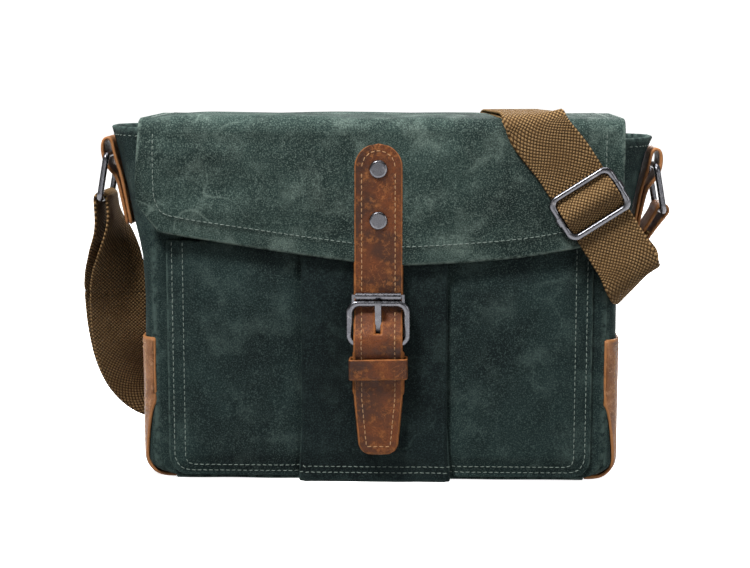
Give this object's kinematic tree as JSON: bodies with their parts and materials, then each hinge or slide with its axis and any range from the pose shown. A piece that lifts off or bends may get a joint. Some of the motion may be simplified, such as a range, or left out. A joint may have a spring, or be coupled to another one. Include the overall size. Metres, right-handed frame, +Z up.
{
  "type": "messenger bag",
  "caption": "Waxed canvas messenger bag with leather trim, a front flap closed by a buckled strap, a pleated front pocket and an adjustable webbing shoulder strap",
  "frame": {"origin": "centre of the bag's base, on the surface that it stands on", "axes": "+X to the viewer's right along the bag's length, -Y out of the front with the flap and buckle, +Z up"},
  "size_m": [0.4103, 0.1249, 0.2538],
  "materials": {
    "canvas": "waxed cotton canvas, matt",
    "lining_cloth": "plain woven cotton",
    "leather": "oiled brown leather",
    "metal": "gunmetal plating",
    "board": "stiffening board",
    "webbing": "heavy cotton webbing"
  },
  "bodies": {
    "bag": {"back_panel": "canvas", "front_panel": "canvas", "gusset_left": "canvas", "gusset_right": "canvas", "bottom_panel": "canvas", "base_board": "board", "lining": "lining_cloth", "front_pocket": "canvas", "pocket_pleat": "canvas", "snap_socket": "metal", "side_pocket_left": "leather", "side_pocket_right": "leather", "ring_tab_left": "leather", "ring_tab_right": "leather", "tab_rivet_left": "metal", "tab_rivet_right": "metal", "flap_seam_strip": "canvas", "flap_hinge_fold": "canvas", "webbing_end": "webbing", "webbing_back": "webbing", "webbing_back_return": "webbing"},
    "flap": {"flap_outer": "canvas", "flap_lining": "lining_cloth", "closure_strap_upper": "leather", "closure_rivets": "metal", "webbing_front": "webbing", "webbing_front_return": "webbing"},
    "closure": {"closure_strap_lower": "leather", "chape": "leather", "snap_stud": "metal", "buckle_frame": "metal"},
    "roller": {"buckle_roller": "metal"},
    "prong": {"buckle_prong": "metal"},
    "keeper": {"keeper": "leather"},
    "ring_left": {"ring_left": "metal"},
    "ring_right": {"ring_right": "metal", "strap_end_tab": "leather", "strap_end_rivet": "metal"},
    "slider": {"slider_frame": "metal"},
    "slider_bar": {"slider_bar": "metal"}
  },
  "joints": [
    {"name": "flap_open", "type": "hinge", "parent": "bag", "child": "flap", "pos_m": [0, 0.044, 0.238], "axis": [-1, 0, 0], "range_deg": [0, 100], "deforming": ["flap_hinge_fold", "webbing_end", "webbing_back", "webbing_back_return", "webbing_front", "webbing_front_return"]},
    {"name": "strap_lift", "type": "hinge", "parent": "flap", "child": "closure", "pos_m": [0, -0.0564, 0.15], "axis": [-1, 0, 0], "range_deg": [0, 80]},
    {"name": "roller_turn", "type": "hinge", "parent": "closure", "child": "roller", "pos_m": [0, -0.0596, 0.1294], "axis": [1, 0, 0], "continuous": true},
    {"name": "prong_lift", "type": "hinge", "parent": "closure", "child": "prong", "pos_m": [0, -0.0596, 0.0975], "axis": [1, 0, 0], "range_deg": [0, 8]},
    {"name": "keeper_slide", "type": "slide", "parent": "closure", "child": "keeper", "axis": [0, 0, 1], "range_m": [0, 0.002]},
    {"name": "ring_left_swing", "type": "hinge", "parent": "bag", "child": "ring_left", "pos_m": [-0.1866, 0, 0.2205], "axis": [0, 1, 0], "range_deg": [-8, 60], "deforming": ["webbing_back", "webbing_back_return"]},
    {"name": "ring_right_swing", "type": "hinge", "parent": "bag", "child": "ring_right", "pos_m": [0.1866, 0, 0.2135], "axis": [0, -1, 0], "range_deg": [0, 45], "deforming": ["webbing_end"]},
    {"name": "slider_adjust", "type": "slide", "parent": "flap", "child": "slider", "axis": [-0.5402, 0, 0.8415], "range_m": [-0.022, 0.024], "deforming": ["webbing_front", "webbing_front_return", "webbing_end"]},
    {"name": "slider_bar_shift", "type": "slide", "parent": "slider", "child": "slider_bar", "axis": [-0.5402, 0, 0.8415], "range_m": [-0.004, 0.004]}
  ]
}
